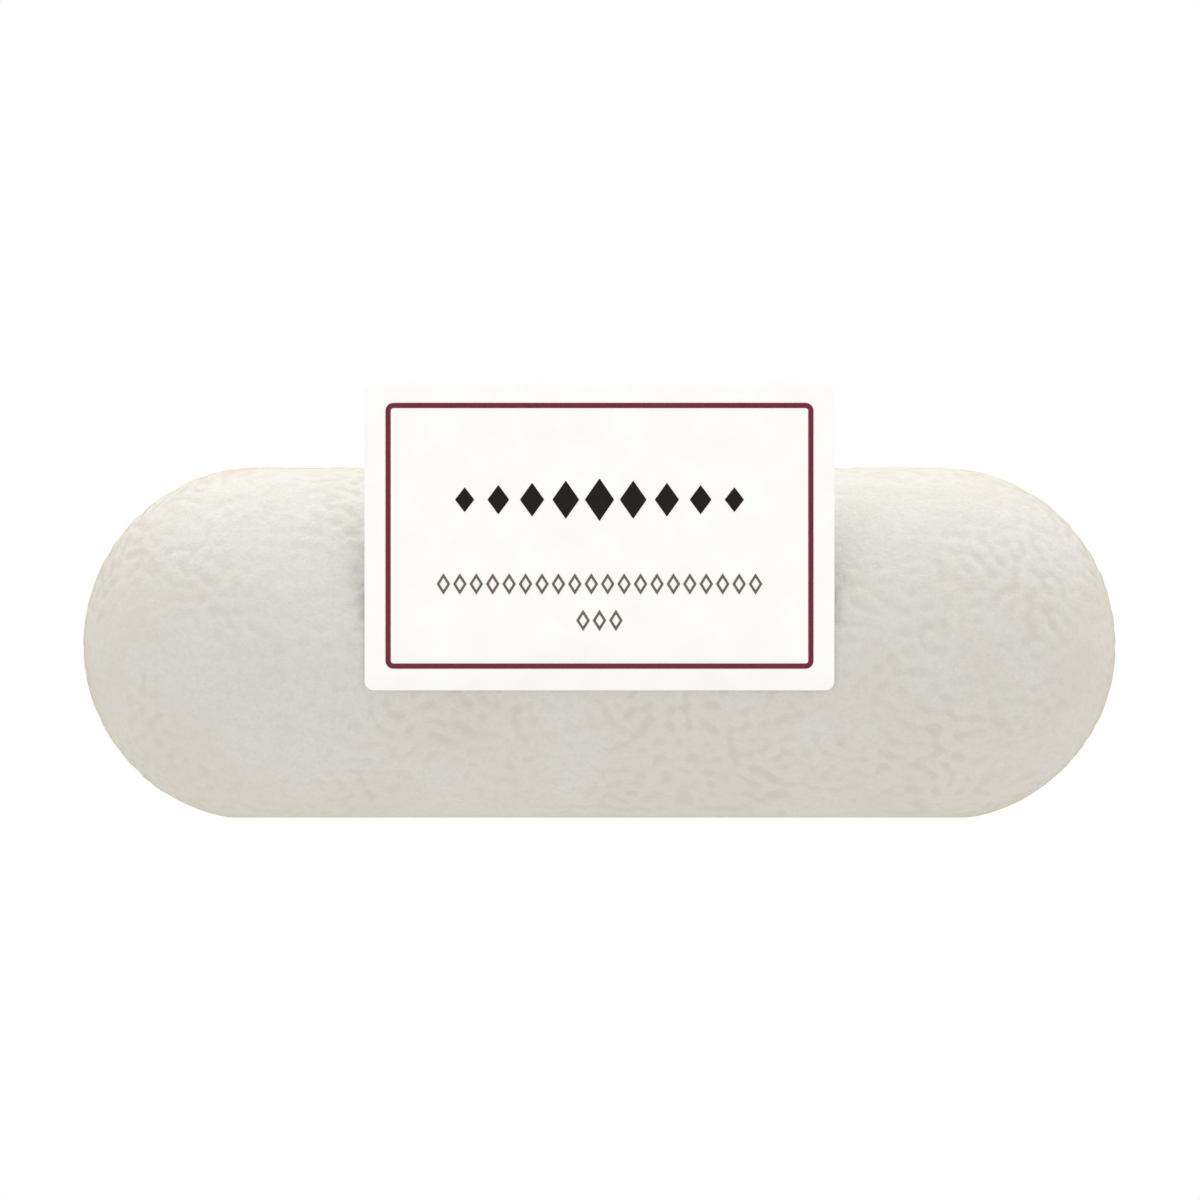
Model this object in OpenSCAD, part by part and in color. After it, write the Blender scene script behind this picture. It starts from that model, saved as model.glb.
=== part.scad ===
// Goat cheese log with a card label stuck to its front.
// Sizes are in millimetres. +X runs along the log, +Z is up, and the card faces -Y.
// The origin is the middle of the flat that the log lies on.

/* [Log] */
// Length of the log, from the tip of one domed end to the tip of the other
log_l = 144.4; // [110:0.2:200]
// Height of the log as it lies
log_h = 49; // [38:0.5:62]
// Width of the flat that the soft log has settled onto
rest_w = 9; // [5:0.5:14]

/* [Card] */
// Width of the card
card_w = 65.8; // [40:0.2:80]
// Height of the card, seen from the front
card_h = 43.1; // [30:0.1:60]
// Thickness of the card
card_t = 0.5; // [0.3:0.05:1.2]
// Radius of the card's corners
card_corner_r = 1.3; // [0.5:0.1:6]
// How far the card's stuck foot reaches below the widest line of the log
card_foot = 6.4; // [3:0.1:12]

/* [Hidden] */
$fn = 180;

// A circle of this radius stands log_h high on a chord rest_w wide
log_r = (pow(log_h, 2) + pow(rest_w / 2, 2)) / (2 * log_h);
axis_z = log_h - log_r;
straight_l = log_l - 2 * log_r;

// The foot is bent this far round the log, and a little more is trimmed off by the outline
foot_angle = asin(card_foot / log_r);
trim_angle = 5;

// A length that clears everything, for cutters
clear_l = 2 * (log_l + log_h + card_h);

// Half of the log's outline, for turning about Y: a straight side with a quarter round at each end
module half_outline() {
    intersection() {
        union() {
            square([2 * log_r, straight_l], center = true);
            for (end = [-1, 1])
                translate([0, end * straight_l / 2]) circle(log_r);
        }
        translate([0, -clear_l / 2]) square([clear_l, clear_l]);
    }
}

// The round log, turned about its own axis, lies on the flat cut off its underside
module cheese_log() {
    color("#ece8df")
        intersection() {
            translate([0, 0, axis_z])
                rotate([0, 90, 0])
                    rotate_extrude() half_outline();
            translate([-clear_l / 2, -clear_l / 2, 0]) cube(clear_l);
        }
}

// A rectangle with round corners, standing on the X axis and centred on Y
module rounded_card(w, h, r) {
    translate([-w / 2, r]) square([w, h - 2 * r]);
    translate([-w / 2 + r, 0]) square([w - 2 * r, h]);
    for (side = [-1, 1], level = [r, h - r])
        translate([side * (w / 2 - r), level]) circle(r);
}

// The sheet before its outline is cut: upright where it stands free, bent round the log at the foot
module bent_sheet() {
    translate([-card_w / 2, -log_r - card_t, axis_z])
        cube([card_w, card_t, card_h]);
    translate([-card_w / 2, 0, axis_z])
        rotate([0, 90, 0])
            rotate([0, 0, -90])
                rotate_extrude(angle = foot_angle + trim_angle)
                    translate([log_r, 0]) square([card_t, card_w]);
}

// The card hugs the log's side at its foot and stands straight up from the widest line
module label_card() {
    color("#fcfbf7")
        intersection() {
            bent_sheet();
            translate([0, 0, axis_z - card_foot])
                rotate([90, 0, 0])
                    linear_extrude(clear_l, center = true)
                        rounded_card(card_w, card_h, card_corner_r);
        }
}

cheese_log();
label_card();
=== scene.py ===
import math
import bpy
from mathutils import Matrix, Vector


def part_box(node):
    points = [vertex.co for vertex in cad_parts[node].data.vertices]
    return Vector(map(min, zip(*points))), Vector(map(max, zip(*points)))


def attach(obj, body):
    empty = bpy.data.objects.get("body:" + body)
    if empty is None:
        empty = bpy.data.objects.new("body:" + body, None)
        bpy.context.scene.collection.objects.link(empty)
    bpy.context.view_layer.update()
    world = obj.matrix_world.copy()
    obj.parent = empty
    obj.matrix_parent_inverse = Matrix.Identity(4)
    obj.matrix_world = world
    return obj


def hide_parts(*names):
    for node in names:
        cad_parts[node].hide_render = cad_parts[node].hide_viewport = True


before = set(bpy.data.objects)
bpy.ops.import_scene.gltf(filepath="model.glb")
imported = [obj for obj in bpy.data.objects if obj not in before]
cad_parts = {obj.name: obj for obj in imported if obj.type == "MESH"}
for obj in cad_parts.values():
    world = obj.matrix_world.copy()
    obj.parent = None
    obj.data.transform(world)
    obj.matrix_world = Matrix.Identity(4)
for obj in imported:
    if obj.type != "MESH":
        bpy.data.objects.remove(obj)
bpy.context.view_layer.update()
bpy.ops.object.select_all(action="DESELECT")

# Places that everything is worked out from
mm = 0.001
logLow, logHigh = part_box("cheese_log")
cardLow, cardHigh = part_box("label_card")
logRadius = (logHigh.y - logLow.y) / 2
logAxis = logHigh.z - logRadius
halfStraight = logHigh.x - logRadius
cardWidth = cardHigh.x - cardLow.x
cardHeight = cardHigh.z - cardLow.z
cardMiddle = (cardLow.z + cardHigh.z) / 2
cardFront = cardLow.y
print("frame: the log is", [round(c / mm, 1) for c in logHigh - logLow], "mm")


# Working in edit mode

def pick(piece, kind, test):
    bpy.ops.object.mode_set(mode="EDIT")
    bpy.ops.mesh.select_mode(type=kind)
    bpy.ops.mesh.select_all(action="DESELECT")
    bpy.ops.object.mode_set(mode="OBJECT")
    mesh = piece.data
    for part in {"VERT": mesh.vertices, "EDGE": mesh.edges, "FACE": mesh.polygons}[kind]:
        part.select = test(part)
    bpy.ops.object.mode_set(mode="EDIT")


def pickAll():
    bpy.ops.object.mode_set(mode="EDIT")
    bpy.ops.mesh.select_all(action="SELECT")


def leaveEditMode():
    bpy.ops.object.mode_set(mode="OBJECT")


def applyModifier(piece, name, kind, **settings):
    modifier = piece.modifiers.new(name, kind)
    for setting, value in settings.items():
        setattr(modifier, setting, value)
    bpy.ops.object.modifier_apply(modifier=name)


def settlePiece(piece, material):
    leaveEditMode()
    bpy.ops.object.transform_apply(location=True, rotation=True, scale=True)
    piece.data.materials.clear()
    piece.data.materials.append(material)
    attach(piece, "root")
    print(piece.name, "has", len(piece.data.polygons), "faces")


# Building node trees

def paint(hexCode):
    channels = [int(hexCode[i:i + 2], 16) / 255 for i in (1, 3, 5)]
    linear = [c / 12.92 if c <= 0.04045 else ((c + 0.055) / 1.055) ** 2.4 for c in channels]
    return (*linear, 1)


def addNode(tree, kind, feed=None, **values):
    node = tree.nodes.new(kind)
    for name, value in values.items():
        if hasattr(node, name):
            setattr(node, name, value)
        else:
            node.inputs[name.replace("_", " ")].default_value = value
    for name, source in (feed or {}).items():
        tree.links.new(source, node.inputs[name])
    return node


def setSocket(tree, socket, value):
    if hasattr(value, "is_output"):
        tree.links.new(value, socket)
    else:
        socket.default_value = value


def compute(tree, operation, *values):
    node = addNode(tree, "ShaderNodeMath", operation=operation)
    for socket, value in zip(node.inputs, values):
        setSocket(tree, socket, value)
    return node.outputs[0]


def remap(tree, value, source, target, kind="LINEAR"):
    node = addNode(tree, "ShaderNodeMapRange", {"Value": value}, interpolation_type=kind,
                   From_Min=source[0], From_Max=source[1], To_Min=target[0], To_Max=target[1])
    return node.outputs["Result"]


def blend(tree, factor, first, second):
    node = addNode(tree, "ShaderNodeMix", data_type="RGBA")
    for place, value in ((0, factor), (6, first), (7, second)):  # 6, 7 and output 2 are the colour ones
        setSocket(tree, node.inputs[place], value)
    return node.outputs[2]


def addGroup(name, kind, inputs, outputs):
    tree = bpy.data.node_groups.new(name, kind)
    for label, socketType in inputs.items():
        tree.interface.new_socket(label, in_out="INPUT", socket_type=socketType)
    for label, socketType in outputs.items():
        tree.interface.new_socket(label, in_out="OUTPUT", socket_type=socketType)
    return tree, tree.nodes.new("NodeGroupInput"), tree.nodes.new("NodeGroupOutput")


def useGroup(tree, group, values):
    node = addNode(tree, "ShaderNodeGroup", node_tree=group)
    for name, value in values.items():
        node.inputs[name].default_value = value
    return node


def newMaterial(name):
    material = bpy.data.materials.new(name)
    material.use_nodes = True
    tree = material.node_tree
    tree.nodes.clear()
    shader = addNode(tree, "ShaderNodeBsdfPrincipled")
    addNode(tree, "ShaderNodeOutputMaterial", {"Surface": shader.outputs["BSDF"]})
    return material, tree, shader


def addBump(tree, shader, height, strength, distance):
    bump = addNode(tree, "ShaderNodeBump", {"Height": height}, Strength=strength, Distance=distance)
    tree.links.new(bump.outputs["Normal"], shader.inputs["Normal"])


# Relief of the rind, as a geometry modifier: soft waves, worm-like wrinkles and small pits

reliefLook = {
    "waveScale": 34.0,       # waves per metre
    "waveHeight": 0.28 * mm,
    "waveMiddle": 0.55,      # level of the waves that stays in place
    "wrinkleScale": 190.0,
    "wrinkleBands": 2.2,     # wrinkles across one cell of that scale
    "wrinkleBand": (0.34, 0.66),
    "wrinkleHeight": 0.12 * mm,
    "calmScale": 60.0,       # patches where the wrinkles die down
    "calmBand": (0.38, 0.62),
    "calmest": 0.3,
    "pitScale": 150.0,
    "pitSize": 0.16,
    "pitShare": 0.22,
    "pitDepth": 0.35 * mm,
}


def wrinkleField(tree, place, look):
    worm = addNode(tree, "ShaderNodeTexGabor", {"Vector": place}, gabor_type="3D", Anisotropy=0.0,
                   Scale=look["wrinkleScale"], Frequency=look["wrinkleBands"])
    ridge = remap(tree, worm.outputs["Value"], look["wrinkleBand"], (-1.0, 1.0), "SMOOTHSTEP")
    patch = addNode(tree, "ShaderNodeTexNoise", {"Vector": place}, Scale=look["calmScale"], Detail=1.0)
    strength = remap(tree, patch.outputs["Fac"], look["calmBand"], (look["calmest"], 1.0))
    return compute(tree, "MULTIPLY", ridge, strength)


def pitField(tree, place, look):
    pores = addNode(tree, "ShaderNodeTexVoronoi", {"Vector": place}, Scale=look["pitScale"], Randomness=1.0)
    hole = remap(tree, pores.outputs["Distance"], (0.0, look["pitSize"]), (1.0, 0.0), "SMOOTHSTEP")
    chance = addNode(tree, "FunctionNodeSeparateColor", {"Color": pores.outputs["Color"]})
    isPit = compute(tree, "LESS_THAN", chance.outputs["Red"], look["pitShare"])
    return compute(tree, "MULTIPLY", hole, isPit)


def reliefModifier(look):
    geometry = {"Geometry": "NodeSocketGeometry"}
    tree, start, end = addGroup("rindRelief", "GeometryNodeTree", geometry, geometry)
    place = addNode(tree, "GeometryNodeInputPosition").outputs["Position"]
    normal = addNode(tree, "GeometryNodeInputNormal").outputs["Normal"]
    wave = addNode(tree, "ShaderNodeTexNoise", {"Vector": place}, Scale=look["waveScale"], Detail=2.0)
    level = compute(tree, "SUBTRACT", wave.outputs["Fac"], look["waveMiddle"])
    wrinkle = wrinkleField(tree, place, look)
    pit = pitField(tree, place, look)
    height = compute(tree, "MULTIPLY", level, look["waveHeight"])
    height = compute(tree, "MULTIPLY_ADD", wrinkle, look["wrinkleHeight"], height)
    height = compute(tree, "MULTIPLY_ADD", pit, -look["pitDepth"], height)

    # Where the card or the shelf presses, the rind stays smooth
    pressed = addNode(tree, "GeometryNodeInputNamedAttribute", data_type="FLOAT", Name="pressed")
    height = compute(tree, "MULTIPLY", height, compute(tree, "SUBTRACT", 1.0, pressed.outputs["Attribute"]))
    shift = addNode(tree, "ShaderNodeVectorMath", {"Vector": normal, "Scale": height}, operation="SCALE")

    # Furrows and pits are kept as an attribute from 0 to 1, so that the material can paint shade into them
    furrowShade = compute(tree, "MAXIMUM", compute(tree, "MULTIPLY_ADD", wrinkle, -0.5, 0.5), pit)
    keep = addNode(tree, "GeometryNodeStoreNamedAttribute",
                   {"Geometry": start.outputs["Geometry"], "Value": furrowShade},
                   data_type="FLOAT", domain="POINT", Name="furrowShade")
    move = addNode(tree, "GeometryNodeSetPosition",
                   {"Geometry": keep.outputs["Geometry"], "Offset": shift.outputs["Vector"]})
    tree.links.new(move.outputs["Geometry"], end.inputs["Geometry"])
    return tree


# The log: a cube blown up to a ball, halved, drawn out and mirrored

logShape = {
    "facesPerQuarter": 76,    # faces along a quarter of the girth
    "pressMargin": 1.5 * mm,  # how far round the card's foot the rind is pressed smooth
    "pressHeight": 2.5 * mm,  # and how far up from the shelf
    "pressBlend": 6,          # passes that soften the edge of what is pressed
    "creaseHeight": 0.5 * mm,
    "creaseBlend": 8,         # passes that soften the crease round the flat
}


def makeBall(shape):
    bpy.ops.object.select_all(action="DESELECT")
    bpy.ops.mesh.primitive_cube_add(size=2 * logRadius)
    ball = bpy.context.object
    pickAll()
    bpy.ops.mesh.subdivide(number_cuts=shape["facesPerQuarter"] - 1)
    leaveEditMode()
    for point in ball.data.vertices:  # even angles, so that the ball's faces come out alike
        point.co = [logRadius * math.tan(c / logRadius * math.pi / 4) for c in point.co]
    applyModifier(ball, "ball", "CAST", cast_type="SPHERE", factor=1, size=logRadius,
                  use_radius_as_size=False)
    return ball


def drawOut(log, shape):
    tiny = 0.01 * mm
    pick(log, "VERT", lambda v: v.co.x < -tiny)
    bpy.ops.mesh.delete(type="VERT")
    pickAll()
    bpy.ops.transform.translate(value=(halfStraight, 0, 0))
    leaveEditMode()

    def onCut(edge):
        return all(abs(log.data.vertices[v].co.x - halfStraight) < tiny for v in edge.vertices)

    pick(log, "EDGE", onCut)
    bpy.ops.mesh.extrude_edges_move(TRANSFORM_OT_translate={"value": (-halfStraight, 0, 0)})
    leaveEditMode()

    def runsAlong(edge):
        first, last = (log.data.vertices[v].co for v in edge.vertices)
        return abs(first.x - last.x) > halfStraight / 2

    faceLength = math.pi / 2 * logRadius / shape["facesPerQuarter"]
    pick(log, "EDGE", runsAlong)
    bpy.ops.mesh.subdivide(number_cuts=round(halfStraight / faceLength) - 1)
    leaveEditMode()
    applyModifier(log, "otherHalf", "MIRROR", use_axis=(True, False, False), merge_threshold=tiny)
    pickAll()
    bpy.ops.mesh.normals_make_consistent(inside=False)
    bpy.ops.transform.translate(value=(0, 0, logAxis))
    leaveEditMode()


def pressSmooth(log, shape):
    margin = shape["pressMargin"]

    def isPressed(vertex):
        x, y, z = vertex.co
        underCard = y < 0 and abs(x) < cardHigh.x + margin and cardLow.z - margin < z < logAxis + margin
        return underCard or z < shape["pressHeight"]

    pick(log, "VERT", isPressed)
    log.vertex_groups.new(name="pressed")
    bpy.ops.object.vertex_group_assign()
    bpy.ops.mesh.select_all(action="SELECT")
    bpy.ops.object.vertex_group_smooth(group_select_mode="ALL", factor=0.5,
                                        repeat=shape["pressBlend"])
    leaveEditMode()


def restOnFlat(log, shape):
    pick(log, "VERT", lambda v: v.co.z < 0)
    bpy.ops.transform.resize(value=(1, 1, 0), center_override=(0, 0, 0))
    pick(log, "VERT", lambda v: v.co.z < shape["creaseHeight"])
    bpy.ops.mesh.vertices_smooth(factor=0.5, repeat=shape["creaseBlend"])
    leaveEditMode()


def makeLog(shape, material):
    log = makeBall(shape)
    log.name = "cheeseLog"
    drawOut(log, shape)
    pressSmooth(log, shape)
    applyModifier(log, "relief", "NODES", node_group=reliefModifier(reliefLook))
    log.vertex_groups.clear()
    restOnFlat(log, shape)
    bpy.ops.object.shade_smooth()
    settlePiece(log, material)
    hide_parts("cheese_log")


# The card and its print are cut flat, then bent together round the log's side

cardShape = {
    "thickness": 0.5 * mm,
    "cornerRadius": 1.3 * mm,
    "edgeSoftness": 0.07 * mm,
    "gridStep": 1.6 * mm,
    "bevelAngle": math.radians(50),
    "smoothAngle": math.radians(35),
    "bow": 0.35 * mm,        # how far the free corners lean forward
    "bowMiddle": 0.25,       # share of that lean halfway between the corners
}


def bendWithCard(piece):
    for point in piece.data.vertices:
        x, y, z = point.co
        below = max(0.0, logAxis - z)
        above = max(0.0, z - logAxis) / (cardHigh.z - logAxis)
        hug = logRadius - math.sqrt(logRadius ** 2 - below ** 2)
        share = cardShape["bowMiddle"] + (1 - cardShape["bowMiddle"]) * (x / cardHigh.x) ** 2
        point.co.y = y + hug - cardShape["bow"] * above ** 2 * share


def flatSheet(name, width, height, level, cornerRadius, depth):
    bpy.ops.object.select_all(action="DESELECT")
    bpy.ops.mesh.primitive_plane_add(size=1, location=(0, depth, level), rotation=(math.pi / 2, 0, 0))
    sheet = bpy.context.object
    sheet.name = name
    sheet.scale = (width, height, 1)
    bpy.ops.object.transform_apply(location=True, rotation=True, scale=True)
    pickAll()
    bpy.ops.mesh.bevel(offset=cornerRadius, segments=10, affect="VERTICES")
    leaveEditMode()
    return sheet


def cutGrid(piece, step):
    low = [min(v.co[i] for v in piece.data.vertices) for i in range(3)]
    high = [max(v.co[i] for v in piece.data.vertices) for i in range(3)]
    for axis in (0, 2):
        count = max(1, math.ceil((high[axis] - low[axis]) / step))
        for i in range(1, count):
            place = [0, 0, 0]
            place[axis] = low[axis] + (high[axis] - low[axis]) * i / count
            pickAll()
            bpy.ops.mesh.bisect(plane_co=place, plane_no=[float(k == axis) for k in range(3)])
    leaveEditMode()


def giveThickness(piece, thickness, softness, segments):
    applyModifier(piece, "thickness", "SOLIDIFY", thickness=thickness, offset=1)
    applyModifier(piece, "softEdge", "BEVEL", width=softness, segments=segments, limit_method="ANGLE",
                  angle_limit=cardShape["bevelAngle"])
    bpy.ops.object.shade_smooth_by_angle(angle=cardShape["smoothAngle"])


def makeCard(shape, material, backMaterial):
    card = flatSheet("labelCard", cardWidth, cardHeight, cardMiddle, shape["cornerRadius"], -logRadius)
    cutGrid(card, shape["gridStep"])
    bendWithCard(card)
    giveThickness(card, shape["thickness"], shape["edgeSoftness"], segments=3)
    settlePiece(card, material)
    card.data.materials.append(backMaterial)  # bare board shows behind and along the cut edges
    card.active_material_index = 1
    leastFront = -0.2  # faces whose normal leans less to the front than this are bare
    pick(card, "FACE", lambda f: f.normal.y > leastFront)
    bpy.ops.object.material_slot_assign()
    leaveEditMode()
    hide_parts("label_card")


# The print: a frame, a row of solid lozenges and two rows of open ones, each a thin raised film

printShape = {
    "film": 0.035 * mm,        # how far the print stands proud
    "sunk": 0.05 * mm,         # and how far it reaches into the card
    "softness": 0.02 * mm,
    "frameInset": 2.94 * mm,
    "frameStroke": 0.73 * mm,
    "frameRadius": 1.12 * mm,
    "titleDrop": 16.5 * mm,    # below the card's top edge
    "titleCount": 9,
    "titlePitch": 4.72 * mm,
    "titleHalfWidth": (2.05 * mm, 1.35 * mm),  # of the middle lozenge and of the two end ones
    "titleHalfHeight": (3.0 * mm, 1.75 * mm),
    "titleCorner": 0.12 * mm,
    "smallDrops": (28.3 * mm, 33.4 * mm),
    "smallCounts": (20, 3),
    "smallPitch": 2.3 * mm,
    "smallHalf": (0.95 * mm, 1.5 * mm),        # half width and half height
    "smallStroke": 0.34 * mm,
}


def finishPrint(piece, shape, material):
    cutGrid(piece, cardShape["gridStep"])
    bendWithCard(piece)
    giveThickness(piece, shape["film"] + shape["sunk"], shape["softness"], segments=2)
    settlePiece(piece, material)


def hollowOut(stroke):
    pickAll()
    bpy.ops.mesh.inset(thickness=stroke, use_even_offset=True)
    bpy.ops.mesh.delete(type="FACE")
    leaveEditMode()


def joinPieces(pieces, name):
    bpy.ops.object.select_all(action="DESELECT")
    for piece in pieces:
        piece.select_set(True)
    bpy.context.view_layer.objects.active = pieces[0]
    bpy.ops.object.join()
    pieces[0].name = name
    return pieces[0]


def makeFrame(shape, material):
    inset = 2 * shape["frameInset"]
    ring = flatSheet("frameInk", cardWidth - inset, cardHeight - inset, cardMiddle, shape["frameRadius"],
                     cardFront + shape["sunk"])
    hollowOut(shape["frameStroke"])
    finishPrint(ring, shape, material)


def makeLozenge(halfWidth, halfHeight, across, drop, shape):
    bpy.ops.object.select_all(action="DESELECT")
    bpy.ops.mesh.primitive_circle_add(vertices=4, radius=1, fill_type="NGON", rotation=(math.pi / 2, 0, 0),
                                      location=(across, cardFront + shape["sunk"], cardHigh.z - drop))
    lozenge = bpy.context.object
    lozenge.scale = (halfWidth, halfHeight, 1)
    bpy.ops.object.transform_apply(location=True, rotation=True, scale=True)
    return lozenge


def makeTitle(shape, material):
    middle = (shape["titleCount"] - 1) / 2
    pieces = []
    for i in range(shape["titleCount"]):
        share = abs(i - middle) / middle
        sizes = shape["titleHalfWidth"], shape["titleHalfHeight"]
        half = [large + (small - large) * share for large, small in sizes]
        pieces.append(makeLozenge(*half, (i - middle) * shape["titlePitch"], shape["titleDrop"], shape))
        pickAll()
        bpy.ops.mesh.bevel(offset=shape["titleCorner"], segments=3, affect="VERTICES")
        leaveEditMode()
    finishPrint(joinPieces(pieces, "titleInk"), shape, material)


def makeSmallRows(shape, material):
    pieces = []
    for drop, count in zip(shape["smallDrops"], shape["smallCounts"]):
        for i in range(count):
            across = (i - (count - 1) / 2) * shape["smallPitch"]
            pieces.append(makeLozenge(*shape["smallHalf"], across, drop, shape))
            hollowOut(shape["smallStroke"])
    finishPrint(joinPieces(pieces, "smallInk"), shape, material)


# Shared effects, each a node group with named sockets

def fibreGroup():
    inputs = {"Fibre Scale": "NodeSocketFloat", "Fibre Stretch": "NodeSocketVector",
              "Cloud Scale": "NodeSocketFloat", "Cloud Share": "NodeSocketFloat"}
    outputs = {"Height": "NodeSocketFloat", "Tone": "NodeSocketFloat"}
    tree, start, end = addGroup("paperFibre", "ShaderNodeTree", inputs, outputs)
    place = addNode(tree, "ShaderNodeTexCoord").outputs["Object"]
    stretched = addNode(tree, "ShaderNodeMapping",
                        {"Vector": place, "Scale": start.outputs["Fibre Stretch"]})
    fibre = addNode(tree, "ShaderNodeTexNoise",
                    {"Vector": stretched.outputs["Vector"], "Scale": start.outputs["Fibre Scale"]},
                    Detail=3.0, Distortion=0.8)
    cloud = addNode(tree, "ShaderNodeTexNoise", {"Vector": place, "Scale": start.outputs["Cloud Scale"]},
                    Detail=3.0)
    height = compute(tree, "MULTIPLY_ADD", cloud.outputs["Fac"], start.outputs["Cloud Share"],
                     fibre.outputs["Fac"])
    tree.links.new(height, end.inputs["Height"])
    tree.links.new(cloud.outputs["Fac"], end.inputs["Tone"])
    return tree


def grainGroup():
    inputs = {"Grain Scale": "NodeSocketFloat", "Mottle Scale": "NodeSocketFloat"}
    outputs = {"Height": "NodeSocketFloat", "Mottle": "NodeSocketFloat"}
    tree, start, end = addGroup("fineGrain", "ShaderNodeTree", inputs, outputs)
    place = addNode(tree, "ShaderNodeTexCoord").outputs["Object"]
    grain = addNode(tree, "ShaderNodeTexNoise", {"Vector": place, "Scale": start.outputs["Grain Scale"]},
                    Detail=4.0, Roughness=0.65)
    mottle = addNode(tree, "ShaderNodeTexNoise", {"Vector": place, "Scale": start.outputs["Mottle Scale"]},
                     Detail=4.0, Roughness=0.55)
    tree.links.new(grain.outputs["Fac"], end.inputs["Height"])
    tree.links.new(mottle.outputs["Fac"], end.inputs["Mottle"])
    return tree


# The rind

rindLook = {
    "bloom": "#d4d2ce",
    "tan": "#cfc9be",
    "grainHollowTone": "#cbc8c2",
    # painted shade for the furrows and pits
    "furrowShade": "#c9c4ba",
    "tanBand": (0.4, 0.7),    # levels of the mottle over which the tan comes in
    "tanShare": 0.6,
    "grainHollowBand": (0.35, 0.6),  # and levels of the grain over which the rind turns darker towards the grain's hollows
    "grainHollowShare": 0.55,
    "furrowShadeBand": (0.55, 1.0),
    "furrowShadeShare": 0.7,
    "roughBand": (0.3, 0.7),
    "roughness": (0.55, 0.68),
    "grain": {"Grain Scale": 1400.0, "Mottle Scale": 70.0},
    "gloss": 0.35,
    "grainStrength": 0.8,
    "grainDistance": 0.25 * mm,
    "subsurface": 0.15,
    "subsurfaceRadius": (1.6 * mm, 1.1 * mm, 0.7 * mm),
    "skinTint": (0.989, 0.981, 0.966, 1),  # linear, what the skin lets by where it is looked straight at
    "skinRoughness": 0.9,
    "skinIor": 1.001,         # so it adds no gloss of its own
}


def makeRind(look, grain):
    material, tree, shader = newMaterial("naturalRind")
    texture = useGroup(tree, grain, look["grain"])
    mottle = texture.outputs["Mottle"]
    furrowShade = addNode(tree, "ShaderNodeAttribute", attribute_name="furrowShade").outputs["Fac"]
    tan = remap(tree, mottle, look["tanBand"], (0.0, look["tanShare"]))
    # Darker colour in the hollows of the fine grain
    grainHollowTone = remap(tree, texture.outputs["Height"], look["grainHollowBand"], (look["grainHollowShare"], 0.0))
    # Painted shade: the furrows and pits of the relief are darkened in colour
    deep = remap(tree, furrowShade, look["furrowShadeBand"], (0.0, look["furrowShadeShare"]))
    colour = blend(tree, tan, paint(look["bloom"]), paint(look["tan"]))
    colour = blend(tree, grainHollowTone, colour, paint(look["grainHollowTone"]))
    colour = blend(tree, deep, colour, paint(look["furrowShade"]))
    tree.links.new(colour, shader.inputs["Base Color"])
    tree.links.new(remap(tree, mottle, look["roughBand"], look["roughness"]), shader.inputs["Roughness"])
    addBump(tree, shader, texture.outputs["Height"], look["grainStrength"], look["grainDistance"])
    shader.inputs["Specular IOR Level"].default_value = look["gloss"]
    shader.inputs["Subsurface Weight"].default_value = look["subsurface"]
    shader.inputs["Subsurface Radius"].default_value = look["subsurfaceRadius"]
    shader.inputs["Subsurface Scale"].default_value = 1.0
    # The thin tan skin deepens where it is looked through edge-on
    shader.inputs["Coat Weight"].default_value = 1.0
    shader.inputs["Coat Roughness"].default_value = look["skinRoughness"]
    shader.inputs["Coat IOR"].default_value = look["skinIor"]
    shader.inputs["Coat Tint"].default_value = look["skinTint"]
    return material


# The card and its inks

paperFibre = {
    "Fibre Scale": 2600.0,
    "Fibre Stretch": (1.0, 1.0, 0.35),
    "Cloud Scale": 160.0,
    "Cloud Share": 0.4,
}
boardLook = {
    "front": ("#f5f4f1", "#f2f0ec"),
    "back": ("#d9d3c7", "#d0c9bb"),
    "toneBand": (0.3, 0.7),
    "roughness": 0.6,
    "fibreStrength": 0.25,
    "fibreDistance": 0.02 * mm,
}
inkLook = {
    "burgundyInk": ("#66202c", "#6e2935", 0.42),  # colour, faded colour and roughness
    "darkInk": ("#110b0a", "#1a1311", 0.45),
    "greyInk": ("#635a52", "#6a6159", 0.5),
    "toneBand": (0.35, 0.75),
    "gloss": 0.15,
    "fibreStrength": 0.2,
    "fibreDistance": 0.015 * mm,
}


def makeBoard(name, colours, look, fibre):
    material, tree, shader = newMaterial(name)
    paper = useGroup(tree, fibre, paperFibre)
    tone = remap(tree, paper.outputs["Tone"], look["toneBand"], (0.0, 1.0))
    tree.links.new(blend(tree, tone, paint(colours[0]), paint(colours[1])), shader.inputs["Base Color"])
    shader.inputs["Roughness"].default_value = look["roughness"]
    addBump(tree, shader, paper.outputs["Height"], look["fibreStrength"], look["fibreDistance"])
    return material


def makeInk(name, look, fibre):
    material, tree, shader = newMaterial(name)
    colour, faded, roughness = look[name]
    paper = useGroup(tree, fibre, paperFibre)
    tone = remap(tree, paper.outputs["Height"], look["toneBand"], (0.0, 1.0))
    tree.links.new(blend(tree, tone, paint(colour), paint(faded)), shader.inputs["Base Color"])
    shader.inputs["Roughness"].default_value = roughness
    shader.inputs["Specular IOR Level"].default_value = look["gloss"]
    addBump(tree, shader, paper.outputs["Height"], look["fibreStrength"], look["fibreDistance"])
    return material


# Floor, backdrop, light and camera

stageLook = {
    "floorSize": 8.0,
    "floorFade": (0.22, 0.6),  # distances over which the floor turns into the white backdrop
    "floorColours": ("#dededc", "#dbdbd9"),
    "floorRoughness": 0.85,
    "floorGloss": 0.2,
    "floorGrain": {"Grain Scale": 280.0, "Mottle Scale": 14.0},
    "floorGlow": 1.15,
    "floorBounce": 0.15,       # how much of what lights the log from below is the lit floor itself
    "roomLight": 0.9,
    "softboxSize": 1.3,
    "softboxReach": 0.75,
    "softboxTilt": math.radians(10),
    "softboxPower": 7.8,
    "softboxColour": (0.9, 0.95, 1.0),
}


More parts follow.
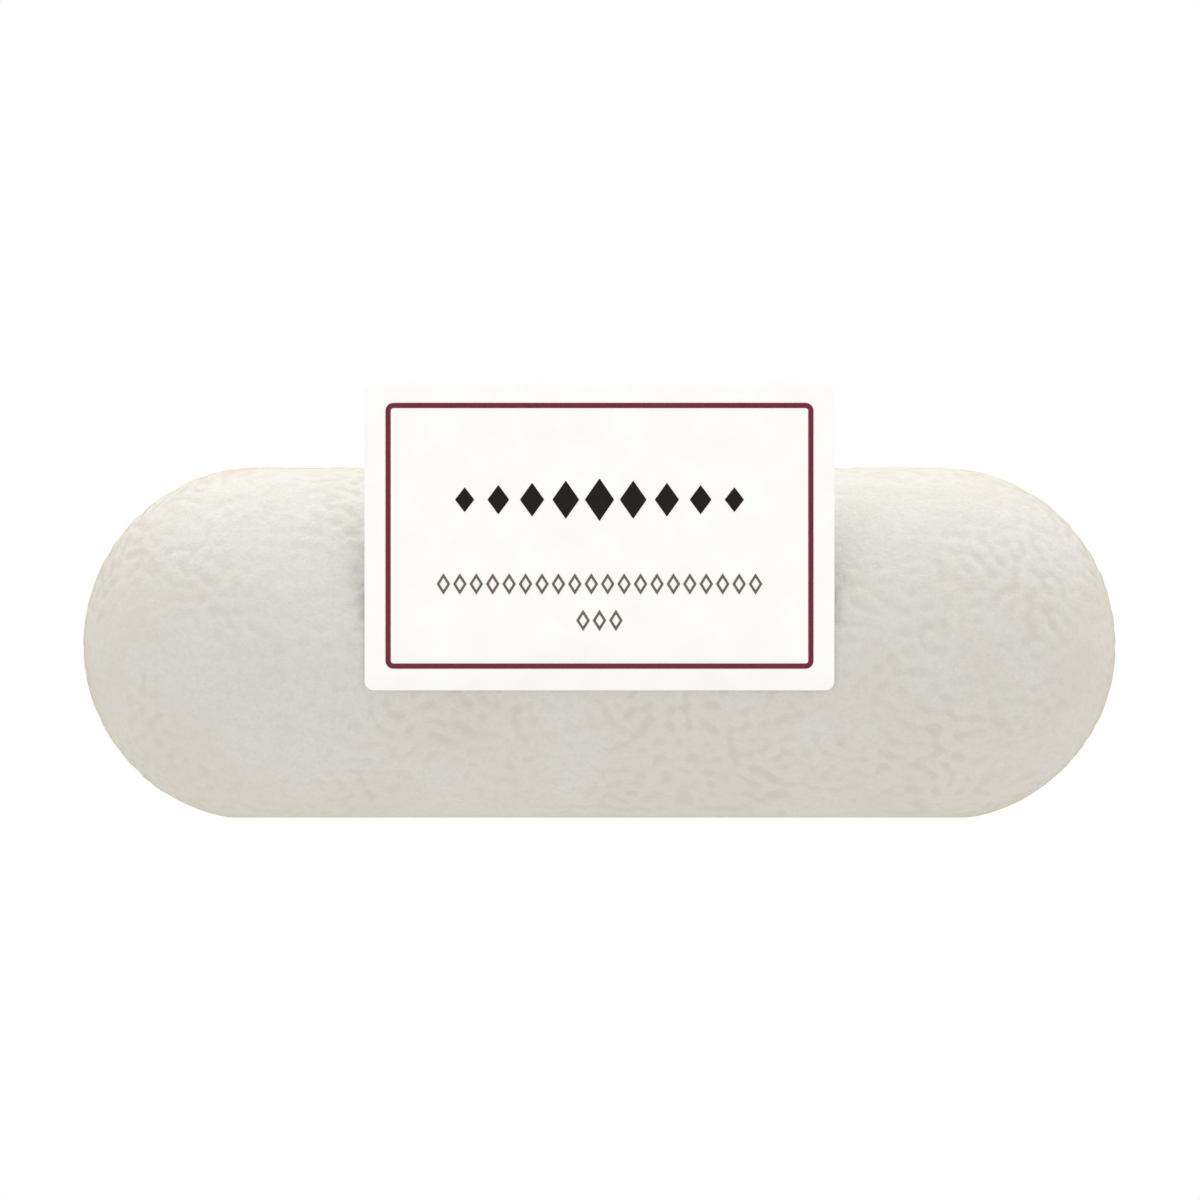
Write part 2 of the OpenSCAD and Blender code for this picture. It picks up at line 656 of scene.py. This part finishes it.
def makeFloor(look, grain):
    material, tree, shader = newMaterial("paleFloor")
    texture = useGroup(tree, grain, look["floorGrain"])
    base, tinted = (paint(colour) for colour in look["floorColours"])
    tree.links.new(blend(tree, texture.outputs["Mottle"], base, tinted), shader.inputs["Base Color"])
    shader.inputs["Roughness"].default_value = look["floorRoughness"]
    shader.inputs["Specular IOR Level"].default_value = look["floorGloss"]

    # An even glow lights the log from below, as on a light table, and the camera sees the lit floor
    glow = addNode(tree, "ShaderNodeEmission", Strength=look["floorGlow"])
    material.cycles.emission_sampling = "NONE"  # else a dark streak shows where the log meets the floor
    rays = addNode(tree, "ShaderNodeLightPath")
    seen = compute(tree, "MAXIMUM", rays.outputs["Is Camera Ray"], look["floorBounce"])
    spot = addNode(tree, "ShaderNodeTexCoord")
    reach = addNode(tree, "ShaderNodeVectorMath", {"Vector": spot.outputs["Object"]}, operation="LENGTH")
    near = remap(tree, reach.outputs["Value"], look["floorFade"], (1.0, 0.0), "SMOOTHSTEP")
    mix = addNode(tree, "ShaderNodeMixShader", {"Fac": compute(tree, "MULTIPLY", seen, near)})
    tree.links.new(glow.outputs["Emission"], mix.inputs[1])
    tree.links.new(shader.outputs["BSDF"], mix.inputs[2])
    tree.links.new(mix.outputs["Shader"], tree.nodes["Material Output"].inputs["Surface"])

    bpy.ops.object.select_all(action="DESELECT")
    bpy.ops.mesh.primitive_plane_add(size=look["floorSize"])
    floor = bpy.context.object
    floor.name = "floor"
    floor.data.materials.append(material)


def makeBackdrop(look):  # it looks white, and lights the log a little less
    world = bpy.data.worlds.new("softStudio")
    bpy.context.scene.world = world
    world.use_nodes = True
    rays = addNode(world.node_tree, "ShaderNodeLightPath")
    room = (look["roomLight"], look["roomLight"], look["roomLight"], 1)
    seen = blend(world.node_tree, rays.outputs["Is Camera Ray"], room, (1, 1, 1, 1))
    world.node_tree.links.new(seen, world.node_tree.nodes["Background"].inputs["Color"])
    bpy.context.scene.view_settings.view_transform = "Standard"


def makeSoftbox(look):
    tilt = look["softboxTilt"]
    place = (0, look["softboxReach"] * math.sin(tilt), look["softboxReach"] * math.cos(tilt))
    bpy.ops.object.light_add(type="AREA", location=place, rotation=(-tilt, 0, 0))
    softbox = bpy.context.object
    softbox.name = "softbox"
    softbox.data.shape = "SQUARE"
    softbox.data.size = look["softboxSize"]
    softbox.data.energy = look["softboxPower"]
    softbox.data.color = look["softboxColour"]
    softbox.visible_camera = False


cameraView = {
    "width": 168 * mm,       # how much it takes in, side to side
    "side": 0.07 * mm,
    "height": 30.45 * mm,
    "distance": 0.5,
}


def makeCamera(view):
    place = (view["side"], -view["distance"], view["height"])
    bpy.ops.object.camera_add(location=place, rotation=(math.pi / 2, 0, 0))
    camera = bpy.context.object
    camera.data.type = "ORTHO"
    camera.data.ortho_scale = view["width"]
    bpy.context.scene.camera = camera


grain = grainGroup()
fibre = fibreGroup()
makeCamera(cameraView)
makeFloor(stageLook, grain)
makeBackdrop(stageLook)
makeSoftbox(stageLook)
print("stage ready")
makeLog(logShape, makeRind(rindLook, grain))
frontBoard = makeBoard("labelBoard", boardLook["front"], boardLook, fibre)
backBoard = makeBoard("unprintedBack", boardLook["back"], boardLook, fibre)
makeCard(cardShape, frontBoard, backBoard)
makeFrame(printShape, makeInk("burgundyInk", inkLook, fibre))
makeTitle(printShape, makeInk("darkInk", inkLook, fibre))
makeSmallRows(printShape, makeInk("greyInk", inkLook, fibre))
print("print ready")
